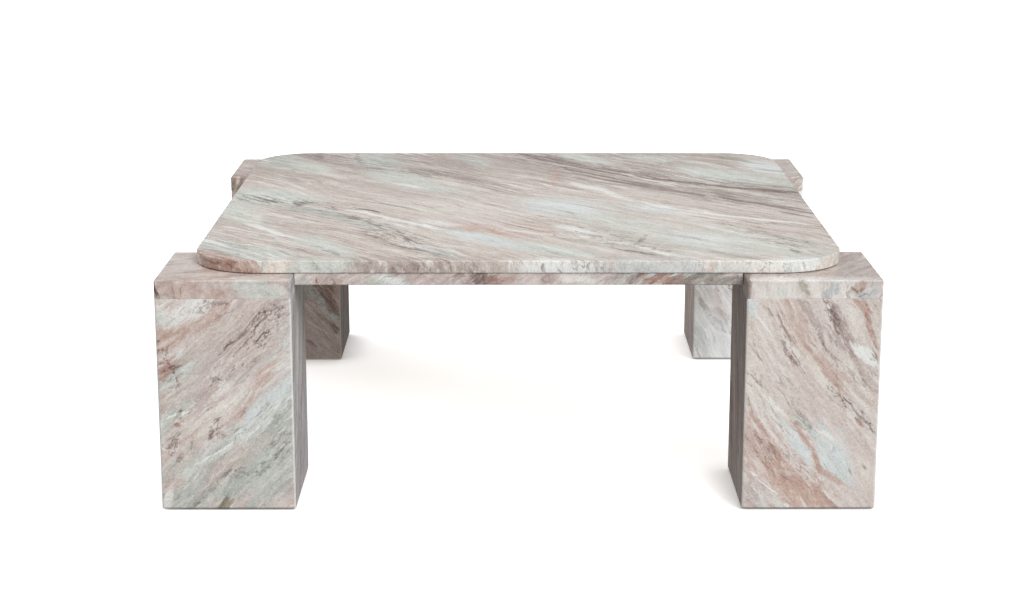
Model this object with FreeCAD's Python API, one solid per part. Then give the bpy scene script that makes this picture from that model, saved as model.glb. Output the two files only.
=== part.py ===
import FreeCAD, Part
import os
from FreeCAD import Vector

# A square coffee table: a rounded marble slab that rests on four block legs clad in the same marble.
# Lengths are in millimetres. +Z is up and +Y is to the rear.
# The origin is on the floor, under the slab's centre.

# Whole table
table_height = 400.0
slab_side = 1050.0
leg_side = 215.0
leg_overhang = 47.5  # how far a leg stands out past the slab's straight edges

# Top slab
slab_thickness = 20.0
slab_corner_radius = 110.0
slab_top_arris = 2.5
slab_bottom_arris = 1.5

# Marble edge strips, bonded under the slab between the legs
strip_height = 20.0
strip_depth = 40.0
strip_setback = 2.0  # from the slab's edge
strip_end_gap = 1.0  # between a strip and the leg beside it
strip_arris = 2.0

# Plywood boards, bonded under the slab inside the strips
board_thickness = 18.0
board_gap = 1.0

# Marble cap and side panels of a leg
cap_thickness = 30.0
panel_thickness = 20.0
leg_corner_arris = 4.0
cap_top_arris = 2.5
seam_bevel = 0.6  # on both sides of the seam under the cap
foot_arris = 3.0

# Wood inside a leg
glue_line = 0.3
post_side = 30.0
base_thickness = 18.0

# Countersunk screws through the base board into the posts
screw_length = 45.0
screw_shank_radius = 2.2
screw_head_radius = 4.4
screw_head_height = 2.6
screw_point_length = 5.0
screw_clearance = 0.1

# Felt pads that the table stands on
pad_thickness = 3.0
pad_radius = 20.0
pad_inset = 42.0  # from the base board's edges to a pad's centre

# Steel pins that keep the slab in place on the caps
pin_radius = 6.0
pin_depth_in_cap = 15.0
pin_depth_in_slab = 8.0
pin_clearance = 0.2
pin_end_gap = 1.0
pin_tip_bevel = 1.0

# Clear bumper dots between the caps and the slab
dot_radius = 6.0
dot_thickness = 1.0

# Places of pins and dots on a leg, from its inner corner, as shares of the leg's side
pin_place_shares = [(0.25, 0.5), (0.5, 0.25)]
dot_place_shares = [(0.15, 0.15), (0.6, 0.15), (0.15, 0.6), (0.45, 0.45)]

# How far a cutting shape runs past what it cuts, and how close to a height an edge at that height lies
overrun = 5.0
same_height = 0.01

# Half widths and heights that follow from the sizes above
slab_half = slab_side / 2
leg_half = leg_side / 2
leg_centre = slab_half + leg_overhang - leg_half
leg_inner = leg_centre - leg_half
slab_bottom = table_height - slab_thickness
cap_top = slab_bottom - dot_thickness
cap_bottom = cap_top - cap_thickness
base_top = pad_thickness + base_thickness
cavity_half = leg_half - panel_thickness
base_half = cavity_half - glue_line
post_half = post_side / 2
post_centre = base_half - post_half
pad_centre = base_half - pad_inset
strip_outer = slab_half - strip_setback
strip_inner = strip_outer - strip_depth
board_long_half = strip_inner - board_gap
board_short_half = leg_inner - board_gap

up = Vector(0, 0, 1)
quarter_turn = 90
corner_signs = [(-1, -1), (1, -1), (1, 1), (-1, 1)]
leg_names = ["front_left", "front_right", "rear_right", "rear_left"]
panel_facings = ["front", "right", "rear", "left"]


def block(low_x, high_x, low_y, high_y, low_z, high_z):
    """A box between the given limits."""
    return Part.makeBox(high_x - low_x, high_y - low_y, high_z - low_z, Vector(low_x, low_y, low_z))


def square_block(half, low_z, high_z):
    """A box that is square in plan and centred on the vertical axis."""
    return block(-half, half, -half, half, low_z, high_z)


def upright_edges(solid):
    """The edges that stand vertically."""
    boxes = [(edge, edge.BoundBox) for edge in solid.Edges]
    return [edge for edge, box in boxes if box.ZLength > box.XLength + box.YLength]


def edges_at(solid, height):
    """The edges that lie level at the given height."""
    low, high = height - same_height, height + same_height
    return [edge for edge in solid.Edges if edge.BoundBox.ZMin > low and edge.BoundBox.ZMax < high]


def corner_places(reach):
    """Four points at the corners of a square about the vertical axis."""
    return [(sign_x * reach, sign_y * reach) for sign_x, sign_y in corner_signs]


def places_on_leg(sign_x, sign_y, shares):
    """Points on a leg centred on the axis, from shares of its side counted from its inner corner."""
    return [(sign_x * (along_x * leg_side - leg_half), sign_y * (along_y * leg_side - leg_half))
            for along_x, along_y in shares]


def moved(solids, x, y):
    """Copies of the solids, moved in plan."""
    copies = [solid.copy() for solid in solids]
    for solid in copies:
        solid.translate(Vector(x, y, 0))
    return copies


def save(name, solids):
    """Writes one node: a single solid, or a group of like solids."""
    shape = solids[0] if len(solids) == 1 else Part.makeCompound(solids)
    shape.exportStep("parts/" + name + ".step")


def pin_hole(x, y, low_z, high_z):
    """The space that a pin and its clearance take up between two heights."""
    return Part.makeCylinder(pin_radius + pin_clearance, high_z - low_z, Vector(x, y, low_z))


def top_slab():
    """The rounded square slab, eased all round, with blind holes for the pins in its underside."""
    slab = square_block(slab_half, slab_bottom, table_height)
    slab = slab.makeFillet(slab_corner_radius, upright_edges(slab))
    slab = slab.makeFillet(slab_top_arris, edges_at(slab, table_height))
    slab = slab.makeFillet(slab_bottom_arris, edges_at(slab, slab_bottom))
    hole_top = slab_bottom + pin_depth_in_slab + pin_end_gap
    for sign_x, sign_y in corner_signs:
        for x, y in places_on_leg(sign_x, sign_y, pin_place_shares):
            hole_x, hole_y = x + sign_x * leg_centre, y + sign_y * leg_centre
            slab = slab.cut(pin_hole(hole_x, hole_y, slab_bottom - overrun, hole_top))
    return slab


def edge_strip():
    """The front edge strip, with its lower outer edge eased."""
    end = leg_inner - strip_end_gap
    low = slab_bottom - strip_height
    strip = block(-end, end, -strip_outer, -strip_inner, low, slab_bottom)
    middle = -(strip_outer + strip_inner) / 2
    outer_edge = [edge for edge in edges_at(strip, low) if edge.BoundBox.YMax < middle]
    return strip.makeFillet(strip_arris, outer_edge)


def support_boards():
    """One board from front to rear and one on each side of it, together a cross between the caps."""
    low = slab_bottom - board_thickness
    side_start = board_short_half + board_gap
    centre = block(-board_short_half, board_short_half, -board_long_half, board_long_half, low, slab_bottom)
    left = block(-board_long_half, -side_start, -board_short_half, board_short_half, low, slab_bottom)
    right = block(side_start, board_long_half, -board_short_half, board_short_half, low, slab_bottom)
    return {"centre": centre, "left": left, "right": right}


def leg_cap(pins):
    """The cap of a leg, with blind holes for the pins in its top."""
    cap = square_block(leg_half, cap_bottom, cap_top)
    cap = cap.makeFillet(leg_corner_arris, upright_edges(cap))
    cap = cap.makeFillet(cap_top_arris, edges_at(cap, cap_top))
    cap = cap.makeChamfer(seam_bevel, edges_at(cap, cap_bottom))
    for x, y in pins:
        cap = cap.cut(pin_hole(x, y, cap_top - pin_depth_in_cap, cap_top + overrun))
    return cap


def leg_panels():
    """The four side panels of a leg, mitred at the corners, by the way they face."""
    shell = square_block(leg_half, pad_thickness, cap_bottom)
    shell = shell.makeFillet(leg_corner_arris, upright_edges(shell))
    shell = shell.makeFillet(foot_arris, edges_at(shell, pad_thickness))
    shell = shell.makeChamfer(seam_bevel, edges_at(shell, cap_bottom))
    low, high = pad_thickness - overrun, cap_bottom + overrun
    shell = shell.cut(square_block(cavity_half, low, high))
    middle = Vector(0, 0, low)
    corners = [Vector(x, y, low) for x, y in corner_places(leg_half + overrun)]
    panels = {}
    for facing, start, end in zip(panel_facings, corners, corners[1:] + corners[:1]):
        mitres = Part.Face(Part.makePolygon([middle, start, end, middle])).extrude(up * (high - low))
        panels[facing] = shell.common(mitres).Solids[0]
    return panels


def base_screw(x, y):
    """A countersunk screw that points up, its head flush with the base board's underside."""
    low = Vector(x, y, pad_thickness)
    shank_length = screw_length - screw_head_height - screw_point_length
    head = Part.makeCone(screw_head_radius, screw_shank_radius, screw_head_height, low)
    shank = Part.makeCylinder(screw_shank_radius, shank_length, low + up * screw_head_height)
    point_start = low + up * (screw_length - screw_point_length)
    point = Part.makeCone(screw_shank_radius, 0, screw_point_length, point_start)
    return head.fuse([shank, point])


def screw_hole(x, y):
    """The countersunk hole for one screw, a little wider and deeper than the screw."""
    low = Vector(x, y, pad_thickness)
    bore_radius = screw_shank_radius + screw_clearance
    sink = Part.makeCone(screw_head_radius + screw_clearance, bore_radius, screw_head_height, low)
    bore = Part.makeCylinder(bore_radius, screw_length + screw_clearance, low)
    return sink.fuse(bore)


def leg_wood():
    """The base board and the four corner posts of a leg, drilled for the screws."""
    base = square_block(base_half, pad_thickness, base_top)
    posts = []
    for x, y in corner_places(post_centre):
        post = block(x - post_half, x + post_half, y - post_half, y + post_half, base_top, cap_bottom)
        posts.append(post.cut(screw_hole(x, y)))
        base = base.cut(screw_hole(x, y))
    return base, posts


def locating_pin(x, y):
    """A steel pin that stands on the bottom of its hole in the cap, bevelled where it enters the slab."""
    length = pin_depth_in_cap + dot_thickness + pin_depth_in_slab
    pin = Part.makeCylinder(pin_radius, length, Vector(x, y, cap_top - pin_depth_in_cap))
    return pin.makeChamfer(pin_tip_bevel, edges_at(pin, slab_bottom + pin_depth_in_slab))


def bumper_dot(x, y):
    """A thin clear dot stuck to the cap, which the slab rests on."""
    return Part.makeCylinder(dot_radius, dot_thickness, Vector(x, y, cap_top))


def felt_pad(x, y):
    """A round felt pad under the base board."""
    return Part.makeCylinder(pad_radius, pad_thickness, Vector(x, y, 0))


def build_top():
    """The slab and everything bonded under it."""
    save("top_slab", [top_slab()])
    for turns, facing in enumerate(panel_facings):
        strip = edge_strip()
        strip.rotate(Vector(), up, turns * quarter_turn)
        save(facing + "_edge_strip", [strip])
    for place, board in support_boards().items():
        save(place + "_support_board", [board])


def build_leg(name, sign_x, sign_y):
    """One leg with all its pieces."""
    pins = places_on_leg(sign_x, sign_y, pin_place_shares)
    dots = places_on_leg(sign_x, sign_y, dot_place_shares)
    base, posts = leg_wood()
    pieces = {"cap": [leg_cap(pins)]}
    for facing, panel in leg_panels().items():
        pieces[facing + "_panel"] = [panel]
    pieces["base_board"] = [base]
    pieces["corner_posts"] = posts
    pieces["base_screws"] = [base_screw(x, y) for x, y in corner_places(post_centre)]
    pieces["felt_pads"] = [felt_pad(x, y) for x, y in corner_places(pad_centre)]
    pieces["locating_pins"] = [locating_pin(x, y) for x, y in pins]
    pieces["bumper_dots"] = [bumper_dot(x, y) for x, y in dots]
    for piece, solids in pieces.items():
        save(name + "_leg_" + piece, moved(solids, sign_x * leg_centre, sign_y * leg_centre))


os.makedirs("parts", exist_ok=True)
build_top()
for leg_name, (leg_sign_x, leg_sign_y) in zip(leg_names, corner_signs):
    build_leg(leg_name, leg_sign_x, leg_sign_y)
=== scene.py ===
import math

import bpy
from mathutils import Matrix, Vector


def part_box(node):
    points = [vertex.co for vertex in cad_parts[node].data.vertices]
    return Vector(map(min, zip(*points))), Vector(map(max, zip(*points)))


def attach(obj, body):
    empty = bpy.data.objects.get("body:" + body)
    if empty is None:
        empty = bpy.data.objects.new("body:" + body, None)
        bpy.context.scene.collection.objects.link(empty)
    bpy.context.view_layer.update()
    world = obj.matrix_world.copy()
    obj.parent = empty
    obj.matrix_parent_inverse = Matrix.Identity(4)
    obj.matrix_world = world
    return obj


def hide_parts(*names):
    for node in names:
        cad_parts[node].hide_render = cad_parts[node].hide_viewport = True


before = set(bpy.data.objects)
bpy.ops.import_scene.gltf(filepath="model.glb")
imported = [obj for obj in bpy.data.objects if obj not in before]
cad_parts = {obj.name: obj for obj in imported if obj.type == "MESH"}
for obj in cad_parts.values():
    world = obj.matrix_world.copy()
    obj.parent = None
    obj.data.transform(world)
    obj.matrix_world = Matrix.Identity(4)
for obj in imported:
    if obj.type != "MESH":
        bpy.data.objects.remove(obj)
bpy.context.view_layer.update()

# Base boards
# A square of birch plywood closes each leg from below, inside the marble.
# Its edges show the plies, and its faces the long pale grain of the veneer.
BIRCH_LIGHT = (226, 200, 160)
BIRCH_DARK = (196, 162, 118)
BIRCH_GRAIN = (4, 90, 90)
BIRCH_PORES = (60, 1400, 1400)
BIRCH_ROUGHNESS = 0.55
BIRCH_DULLNESS = 0.25
OPEN_PORES = (0.62, 0.75, 0.35)
PLY_GLUE = (150, 112, 76)
PLY_PITCH = 0.0014
GLUE_LINE = (0.22 * PLY_PITCH, 0.08 * PLY_PITCH, 0.55)
NOISE_START = (0.0, 11.0, 23.0)
NOISE_SEED_STEP = (3.7, 5.3, 2.9)
leg_names = ["front_left", "front_right", "rear_left", "rear_right"]


def tint(colour):
    """A colour written as a screen shows it, from 0 to 255, as the shader's linear light."""
    shares = [part / 255 for part in colour]
    light = [((part + 0.055) / 1.055) ** 2.4 if part > 0.04 else part / 12.92 for part in shares]
    return (*light, 1.0)


class Wire:
    """One output of a node. Sums of wires and numbers add Math nodes to the tree that it is in."""

    def __init__(self, socket):
        self.socket = socket
        self.tree = socket.id_data

    def node(self, kind, settings, sockets, output=0):
        """A new node of this kind: first its settings, then the values or links of its sockets."""
        made = self.tree.nodes.new(kind)
        for name, value in settings.items():
            if name == "stops":
                for stop in range(len(value) - len(made.color_ramp.elements)):
                    made.color_ramp.elements.new(1.0)
                for element, (place, colour) in zip(made.color_ramp.elements, value):
                    element.position = place
                    element.color = tint(colour)
            else:
                setattr(made, name, value)
        for name, value in sockets.items():
            for one in value if isinstance(value, list) else [value]:
                if isinstance(one, Wire):
                    self.tree.links.new(one.socket, made.inputs[name])
                else:
                    made.inputs[name].default_value = one
        return Wire(made.outputs[output])

    def maths(self, operation, first, second=0.0):
        return self.node("ShaderNodeMath", {"operation": operation}, {0: first, 1: second})

    def __add__(self, other):
        return self.maths("ADD", self, other)

    def __radd__(self, other):
        return self.maths("ADD", other, self)

    def __sub__(self, other):
        return self.maths("SUBTRACT", self, other)

    def __rsub__(self, other):
        return self.maths("SUBTRACT", other, self)

    def __mul__(self, other):
        return self.maths("MULTIPLY", self, other)

    def __rmul__(self, other):
        return self.maths("MULTIPLY", other, self)

    def __abs__(self):
        return self.maths("ABSOLUTE", self)

    def axis(self, number):
        """These coordinates along one axis alone."""
        return self.node("ShaderNodeSeparateXYZ", {}, {"Vector": self}, number)

    def placed(self, place, turn=(0, 0, 0), size=(1, 1, 1)):
        """These coordinates, counted from a place, along turned axes and in units of a size."""
        return self.node("ShaderNodeMapping", {"vector_type": "TEXTURE"},
                         {"Vector": self, "Location": place, "Rotation": turn, "Scale": size})

    def cloud(self, fineness, seed, detail=3.0, rough=0.55, output=0):
        """Noise from 0 to 1, with its own fineness along each axis, per metre."""
        start = tuple(first + seed * step for first, step in zip(NOISE_START, NOISE_SEED_STEP))
        spot = self.node("ShaderNodeMapping", {"vector_type": "POINT"},
                         {"Vector": self, "Location": start, "Scale": fineness})
        return spot.node("ShaderNodeTexNoise", {},
                         {"Vector": spot, "Scale": 1.0, "Detail": detail, "Roughness": rough}, output)

    def step(self, start, end, most=1.0):
        """A soft step from 0 at the start to the most at the end."""
        return self.node("ShaderNodeMapRange", {"interpolation_type": "SMOOTHSTEP"},
                         {"Value": self, "From Min": start, "From Max": end, "To Max": most})

    def blended(self, other, share, blend="MIX"):
        """This colour, with another mixed into it by a share."""
        return self.node("ShaderNodeMix", {"data_type": "RGBA", "blend_type": blend},
                         {0: share, 6: self, 7: other}, 2)

    def toned(self, stops):
        """The colour that a row of stops gives to this value."""
        return self.node("ShaderNodeValToRGB", {"stops": stops}, {"Fac": self})


def new_finish(name):
    """An empty material, its shader node and a wire with the object's coordinates."""
    material = bpy.data.materials.new(name)
    material.use_nodes = True
    shader = material.node_tree.nodes["Principled BSDF"]
    spot = material.node_tree.nodes.new("ShaderNodeTexCoord").outputs["Object"]
    return material, shader, Wire(spot)


def feed(shader, **wires):
    """Links wires to the shader's sockets, or sets them to plain values."""
    for name, value in wires.items():
        socket = shader.inputs[name.replace("_", " ")]
        if isinstance(value, Wire):
            value.tree.links.new(value.socket, socket)
        else:
            socket.default_value = value


def roughened(spot, height, strength, depth):
    """A bump for the shader's normal."""
    return spot.node("ShaderNodeBump", {}, {"Strength": strength, "Distance": depth, "Height": height})


def plywood_finish():
    """Birch plywood, with dark glue lines between its plies."""
    material, shader, spot = new_finish("birch_plywood")
    grain = spot.cloud(BIRCH_GRAIN, seed=1, detail=5.0, rough=0.6)
    pores = spot.cloud(BIRCH_PORES, seed=2, detail=2.0)
    height = spot.axis(2)
    plies = height.maths("PINGPONG", height, PLY_PITCH)
    colour = grain.toned([(0.35, BIRCH_DARK), (0.65, BIRCH_LIGHT)])
    colour = colour.blended(tint(PLY_GLUE), plies.step(*GLUE_LINE))
    colour = colour.blended(tint(PLY_GLUE), pores.step(*OPEN_PORES))
    bump = roughened(spot, pores, strength=0.15, depth=0.0004)
    feed(shader, Base_Color=colour, Roughness=BIRCH_ROUGHNESS + BIRCH_DULLNESS * grain, Normal=bump)
    return material


def dress(node, material):
    """Gives a piece of the frame its finish."""
    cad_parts[node].data.materials.clear()
    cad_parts[node].data.materials.append(material)


def dress_in_each_leg(piece, material):
    """Gives the same piece of all four legs its finish."""
    for leg in leg_names:
        dress(leg + "_leg_" + piece, material)


birch_plywood = plywood_finish()
dress_in_each_leg("base_board", birch_plywood)

# Felt pads
# Round pads of dark pressed felt are stuck under each base board, and the table stands on them.
# They are punched from sheet, so their rims are a little soft and fuzzy.
FELT_DARK = (44, 41, 40)
FELT_LIGHT = (86, 82, 80)
FELT_FIBRES = (900, 900, 300)
FELT_ROUGHNESS = 0.9
FELT_ARRIS = 0.0006
PAD_RADIUS = 0.02
PAD_CORNER = 0.98 * PAD_RADIUS
PAD_CORNER_STEPS = 9
ARRIS_STEPS = 6
WELD_GAP = 0.000005


def new_tree(name, kinds, family="Geometry", result="Geometry"):
    """An empty node tree with named inputs, the wires of these inputs, and a way to end it."""
    tree = bpy.data.node_groups.new(name, family + "NodeTree")
    for label, kind in kinds.items():
        tree.interface.new_socket(label, in_out="INPUT", socket_type="NodeSocket" + kind)
    tree.interface.new_socket(result, in_out="OUTPUT", socket_type="NodeSocket" + result)
    start = tree.nodes.new("NodeGroupInput")
    end = tree.nodes.new("NodeGroupOutput")

    def finished(shape):
        tree.links.new(shape.socket, end.inputs[0])
        return tree

    return [Wire(start.outputs[label]) for label in kinds], finished


def moved(shape, x=0.0, y=0.0, z=0.0):
    """A shape of a geometry tree, moved along the axes."""
    way = shape.node("ShaderNodeCombineXYZ", {}, {0: x, 1: y, 2: z})
    return shape.node("GeometryNodeTransform", {}, {"Geometry": shape, "Translation": way})


def laid(shape, height, finish):
    """A shape lifted to its height, as one plain mesh with its finish."""
    plain = shape.node("GeometryNodeRealizeInstances", {}, {"Geometry": moved(shape, z=height)})
    return shape.node("GeometryNodeSetMaterial", {}, {"Geometry": plain, "Material": finish})


def eased_plate_tree():
    """A square plate with rounded corners and eased edges, its underside at height zero."""
    (side, corner, thickness, top_arris, low_arris, rim, steps), finished = new_tree("eased plate", {
        "Side": "Float", "Corner radius": "Float", "Thickness": "Float", "Top arris": "Float",
        "Low arris": "Float", "Rim": "Float", "Steps": "Int"})
    square = side.node("GeometryNodeCurvePrimitiveQuadrilateral", {}, {"Width": side, "Height": side})
    outline = side.node("GeometryNodeFilletCurve", {"mode": "POLY"}, {
        "Curve": square, "Count": steps, "Radius": corner})

    def line(start_x, start_y, end_x, end_y):
        start = side.node("ShaderNodeCombineXYZ", {}, {0: start_x, 1: start_y})
        end = side.node("ShaderNodeCombineXYZ", {}, {0: end_x, 1: end_y})
        return side.node("GeometryNodeCurvePrimitiveLine", {}, {"Start": start, "End": end})

    def arc(radius, start, x, y):
        bend = side.node("GeometryNodeCurveArc", {}, {
            "Resolution": ARRIS_STEPS, "Radius": radius, "Start Angle": start, "Sweep Angle": -math.pi / 2})
        return moved(bend, x, y)

    def welded(shape):
        return side.node("GeometryNodeMergeByDistance", {}, {"Geometry": shape, "Distance": WELD_GAP})

    top_inset, low_inset = top_arris + rim, low_arris + rim
    side_low, side_high = 0 - low_arris, top_arris - thickness
    edge = side.node("GeometryNodeJoinGeometry", {}, {"Geometry": [
        line(0 - low_inset, 0.0, 0 - low_arris, 0.0), arc(low_arris, math.pi / 2, 0 - low_arris, side_low),
        line(0.0, side_low, 0.0, side_high), arc(top_arris, 0.0, 0 - top_arris, side_high),
        line(0 - top_arris, 0 - thickness, 0 - top_inset, 0 - thickness)]})
    wall = welded(side.node("GeometryNodeCurveToMesh", {}, {"Curve": outline, "Profile Curve": edge}))
    wall = side.node("GeometryNodeFlipFaces", {}, {"Mesh": wall})
    faces_at_edge = side.node("GeometryNodeInputMeshEdgeNeighbors", {}, {})
    level = side.node("GeometryNodeInputPosition", {}, {}).axis(2)
    is_rim = side.maths("LESS_THAN", faces_at_edge, 2)
    is_high = side.maths("GREATER_THAN", level, thickness * 0.5)

    def lid(chosen, height):
        rim_line = side.node("GeometryNodeMeshToCurve", {}, {"Mesh": wall, "Selection": is_rim * chosen})
        return moved(side.node("GeometryNodeFillCurve", {"mode": "NGONS"}, {"Curve": rim_line}), z=height)

    low_lid = side.node("GeometryNodeFlipFaces", {}, {"Mesh": lid(1 - is_high, 0.0)})
    top_lid = lid(is_high, thickness)
    shape = welded(side.node("GeometryNodeJoinGeometry", {}, {"Geometry": [wall, low_lid, top_lid]}))
    return finished(side.node("GeometryNodeSetShadeSmooth", {}, {"Geometry": shape}))


eased_plate = eased_plate_tree()


def repeated_plate_tree():
    """One plate at each corner of a small square, at each corner of a large one, as under four legs."""
    (large, small, side, corner, thickness, arris, height, finish), finished = new_tree("repeated plates", {
        "Leg spacing": "Float", "Plate spacing": "Float", "Side": "Float", "Corner radius": "Float",
        "Thickness": "Float", "Arris": "Float", "Height": "Float", "Finish": "Material"})
    plate = side.node("GeometryNodeGroup", {"node_tree": eased_plate}, {
        "Side": side, "Corner radius": corner, "Thickness": thickness, "Top arris": arris,
        "Low arris": arris, "Rim": arris, "Steps": PAD_CORNER_STEPS})

    def at_corners(spacing, shape):
        corners = side.node("GeometryNodeMeshGrid", {}, {
            "Size X": spacing, "Size Y": spacing, "Vertices X": 2, "Vertices Y": 2})
        return side.node("GeometryNodeInstanceOnPoints", {}, {"Points": corners, "Instance": shape})

    return finished(laid(at_corners(large, at_corners(small, plate)), height, finish))


def grown(name, tree, sizes):
    """An object with the plain mesh that a geometry tree makes from these sizes."""
    piece = bpy.data.objects.new(name, bpy.data.meshes.new(name + "_start"))
    bpy.context.scene.collection.objects.link(piece)
    grower = piece.modifiers.new(name, "NODES")
    grower.node_group = tree
    for item in tree.interface.items_tree:
        if item.in_out == "INPUT":
            grower[item.identifier] = sizes[item.name]
    ready = piece.evaluated_get(bpy.context.evaluated_depsgraph_get())
    mesh = bpy.data.meshes.new_from_object(ready)
    piece.modifiers.remove(grower)
    piece.data = mesh
    mesh.name = name
    return piece


def felt_finish():
    """Pressed felt, dull and fuzzy."""
    material, shader, spot = new_finish("dark_felt")
    fibres = spot.cloud(FELT_FIBRES, seed=3, detail=4.0, rough=0.7)
    colour = fibres.toned([(0.3, FELT_DARK), (0.75, FELT_LIGHT)])
    fuzz = roughened(spot, fibres, strength=0.5, depth=0.0006)
    feed(shader, Base_Color=colour, Roughness=FELT_ROUGHNESS, Normal=fuzz)
    feed(shader, Sheen_Weight=0.3, Sheen_Roughness=0.5)
    return material


base_low, base_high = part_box("rear_right_leg_base_board")
pad_low, pad_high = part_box("rear_right_leg_felt_pads")
felt_pads = grown("felt_pads", repeated_plate_tree(), {
    "Leg spacing": base_low.x + base_high.x, "Plate spacing": pad_high.x - pad_low.x - 2 * PAD_RADIUS,
    "Side": 2 * PAD_RADIUS, "Corner radius": PAD_CORNER, "Thickness": pad_high.z - pad_low.z,
    "Arris": FELT_ARRIS, "Height": 0.0, "Finish": felt_finish()})
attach(felt_pads, "root")
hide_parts(*[leg + "_leg_felt_pads" for leg in leg_names])

# Corner posts
# Planed softwood blocks stand in the corners of each leg, glued behind the mitres.
# They back the joints and carry the cap, and no one sees them once the leg is closed.
PINE_LIGHT = (232, 204, 158)
PINE_DARK = (204, 160, 104)
PINE_RINGS = (70, 70, 2.5)
PINE_FIBRES = (900, 900, 30)
PINE_ROUGHNESS = 0.6
PINE_DULLNESS = 0.15
DARK_FIBRES = (0.55, 0.75, 0.3)
RING_COUNT = 9


def softwood_finish():
    """Planed softwood, with its growth rings along the post."""
    material, shader, spot = new_finish("planed_softwood")
    rings = spot.cloud(PINE_RINGS, seed=5, detail=3.0, rough=0.5)
    fibres = spot.cloud(PINE_FIBRES, seed=6, detail=2.0)
    bands = rings.maths("FRACT", rings * RING_COUNT)
    colour = bands.toned([(0.1, PINE_LIGHT), (0.75, PINE_DARK), (0.95, PINE_LIGHT)])
    colour = colour.blended(tint(PINE_DARK), fibres.step(*DARK_FIBRES))
    bump = roughened(spot, fibres, strength=0.1, depth=0.0003)
    feed(shader, Base_Color=colour, Roughness=PINE_ROUGHNESS + PINE_DULLNESS * fibres, Normal=bump)
    return material


dress_in_each_leg("corner_posts", softwood_finish())

# Base screws
# Countersunk steel screws go up through each base board into the posts, flush with its underside.
# Plain zinc plating leaves them pale grey, with faint turning marks.
ZINC_LIGHT = (186, 188, 192)
ZINC_DARK = (132, 134, 138)
ZINC_ROUGHNESS = 0.3
METAL_SCUFFS = (500, 500, 2500)
SCUFF_DULLNESS = 0.15


def steel_finish(name, light, dark, roughness):
    """Bright metal with fine scuffs."""
    material, shader, spot = new_finish(name)
    scuffs = spot.cloud(METAL_SCUFFS, seed=7, detail=4.0, rough=0.6)
    colour = scuffs.toned([(0.3, dark), (0.7, light)])
    feed(shader, Base_Color=colour, Metallic=1.0, Roughness=roughness + SCUFF_DULLNESS * scuffs)
    return material


dress_in_each_leg("base_screws", steel_finish("zinc_plate", ZINC_LIGHT, ZINC_DARK, ZINC_ROUGHNESS))

# Leg side panels
# Each leg is boxed in by four panels of polished marble, mitred at the corners and eased along the arrises.
# Every panel is sawn from its own part of the block, so its streaks run their own way.
ROSE = (206, 190, 184)
BLUSH = (219, 208, 202)
MAUVE = (184, 168, 164)
DEEP_MAUVE = (150, 134, 130)
TERRACOTTA = (199, 171, 159)
RUST = (176, 132, 116)
CREAM = (228, 222, 213)
CHALK = (240, 240, 236)
MINT = (211, 216, 209)
SAGE = (186, 190, 184)
ICE = (218, 223, 221)
BLUE_GREY = (166, 178, 184)
SLATE = (118, 114, 110)
UMBER = (104, 84, 77)
OLIVE = (140, 132, 108)
FAWN = (203, 191, 183)
SAND = (214, 206, 199)
TAUPE = (182, 170, 164)
DEEP_TAUPE = (148, 134, 128)
SEPIA = (128, 110, 104)
LICHEN = (172, 176, 171)
SOOT = (100, 79, 73)
ASH = (173, 176, 180)
# The brown of the painted shade on faces that look in under the table
INNER_SHADE_BROWN = (98, 80, 71)
SNOW = (255, 255, 255)
BED_STOPS = (0.28, 0.38, 0.45, 0.52, 0.58, 0.65, 0.75)
PINK_BED = list(zip(BED_STOPS, (DEEP_MAUVE, MAUVE, ROSE, BLUSH, ROSE, CREAM, CHALK)))
TAUPE_BED = list(zip(BED_STOPS, (DEEP_TAUPE, TAUPE, FAWN, SAND, FAWN, CREAM, CHALK)))
GREEN_STOPS = (0.28, 0.40, 0.47, 0.53, 0.60, 0.68, 0.76)
GREEN_BED = list(zip(GREEN_STOPS, (SAGE, MINT, SAGE, MINT, ICE, BLUSH, CREAM)))
CALM_STONES = (SEPIA, SNOW, ASH, INNER_SHADE_BROWN)
DARK_STONES = (UMBER, SLATE)
# The noises in the stone: fineness along, across and into the streaks, step from the seed, detail, roughness
BEDS = ((2.4, 13, 6), 2, 8.0, 0.68)
ZONE = ((1.6, 5, 3), 3, 5.0, 0.60)
FIBRE = ((34, 190, 90), 4, 4.0, 0.65)
MOTTLE = ((70, 145, 90), 5, 5.0, 0.72)
THREAD = ((9, 52, 22), 6, 3.0, 0.55)
SEAM = ((2.0, 10, 5), 7, 5.0, 0.60)
PATCH = ((5, 11, 8), 8, 3.0, 0.60)
WISP = ((11, 80, 32), 9, 5.0, 0.66)
STRAND = ((6, 150, 40), 11, 3.0, 0.60)
RIDGE = ((24, 62, 40), 13, 4.0, 0.62)
GRAIN = ((300, 300, 300), 12, 3.0, 0.65)
SPECKS = ((420, 420, 420), 10, 2.0, 0.60)
NOISE_MIDDLE = 0.5
# How streaks and veins wander: fineness per metre, reach in metres, step from the seed, detail
STREAK_CRUMPLE = (18, 0.008, 0, 2.5)
STREAK_SWAY = (2.6, 0.05, 1, 2.0)
VEIN_CRUMPLE = (26, 0.011, 0, 4.5)
VEIN_SWAY = (6, 0.016, 0.5, 2.0)
WANDER_ROUGHNESS = 0.6
# Soft steps from one stone to the next: where they start and end, and the share they reach if it isn't all
GREEN_ZONE = (0.56, 0.66)
TERRACOTTA_PATCH = (0.58, 0.70, 0.4)
CHALK_SEAM = (0.016, 0.003, 0.5)
SEAM_ZONE = (0.42, 0.56)
STRAND_LINE = (0.44, 0.56, 0.6)
STRAND_LEAST = 0.4
CRACK_LINE = (0.034, 0.010)
HAIR_LINE = (0.024, 0.006)
HAIR_ZONE = (0.52, 0.42)
HAIR_BREAK = (0.38, 0.56)
HAIR_SHARE = 0.5
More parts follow.
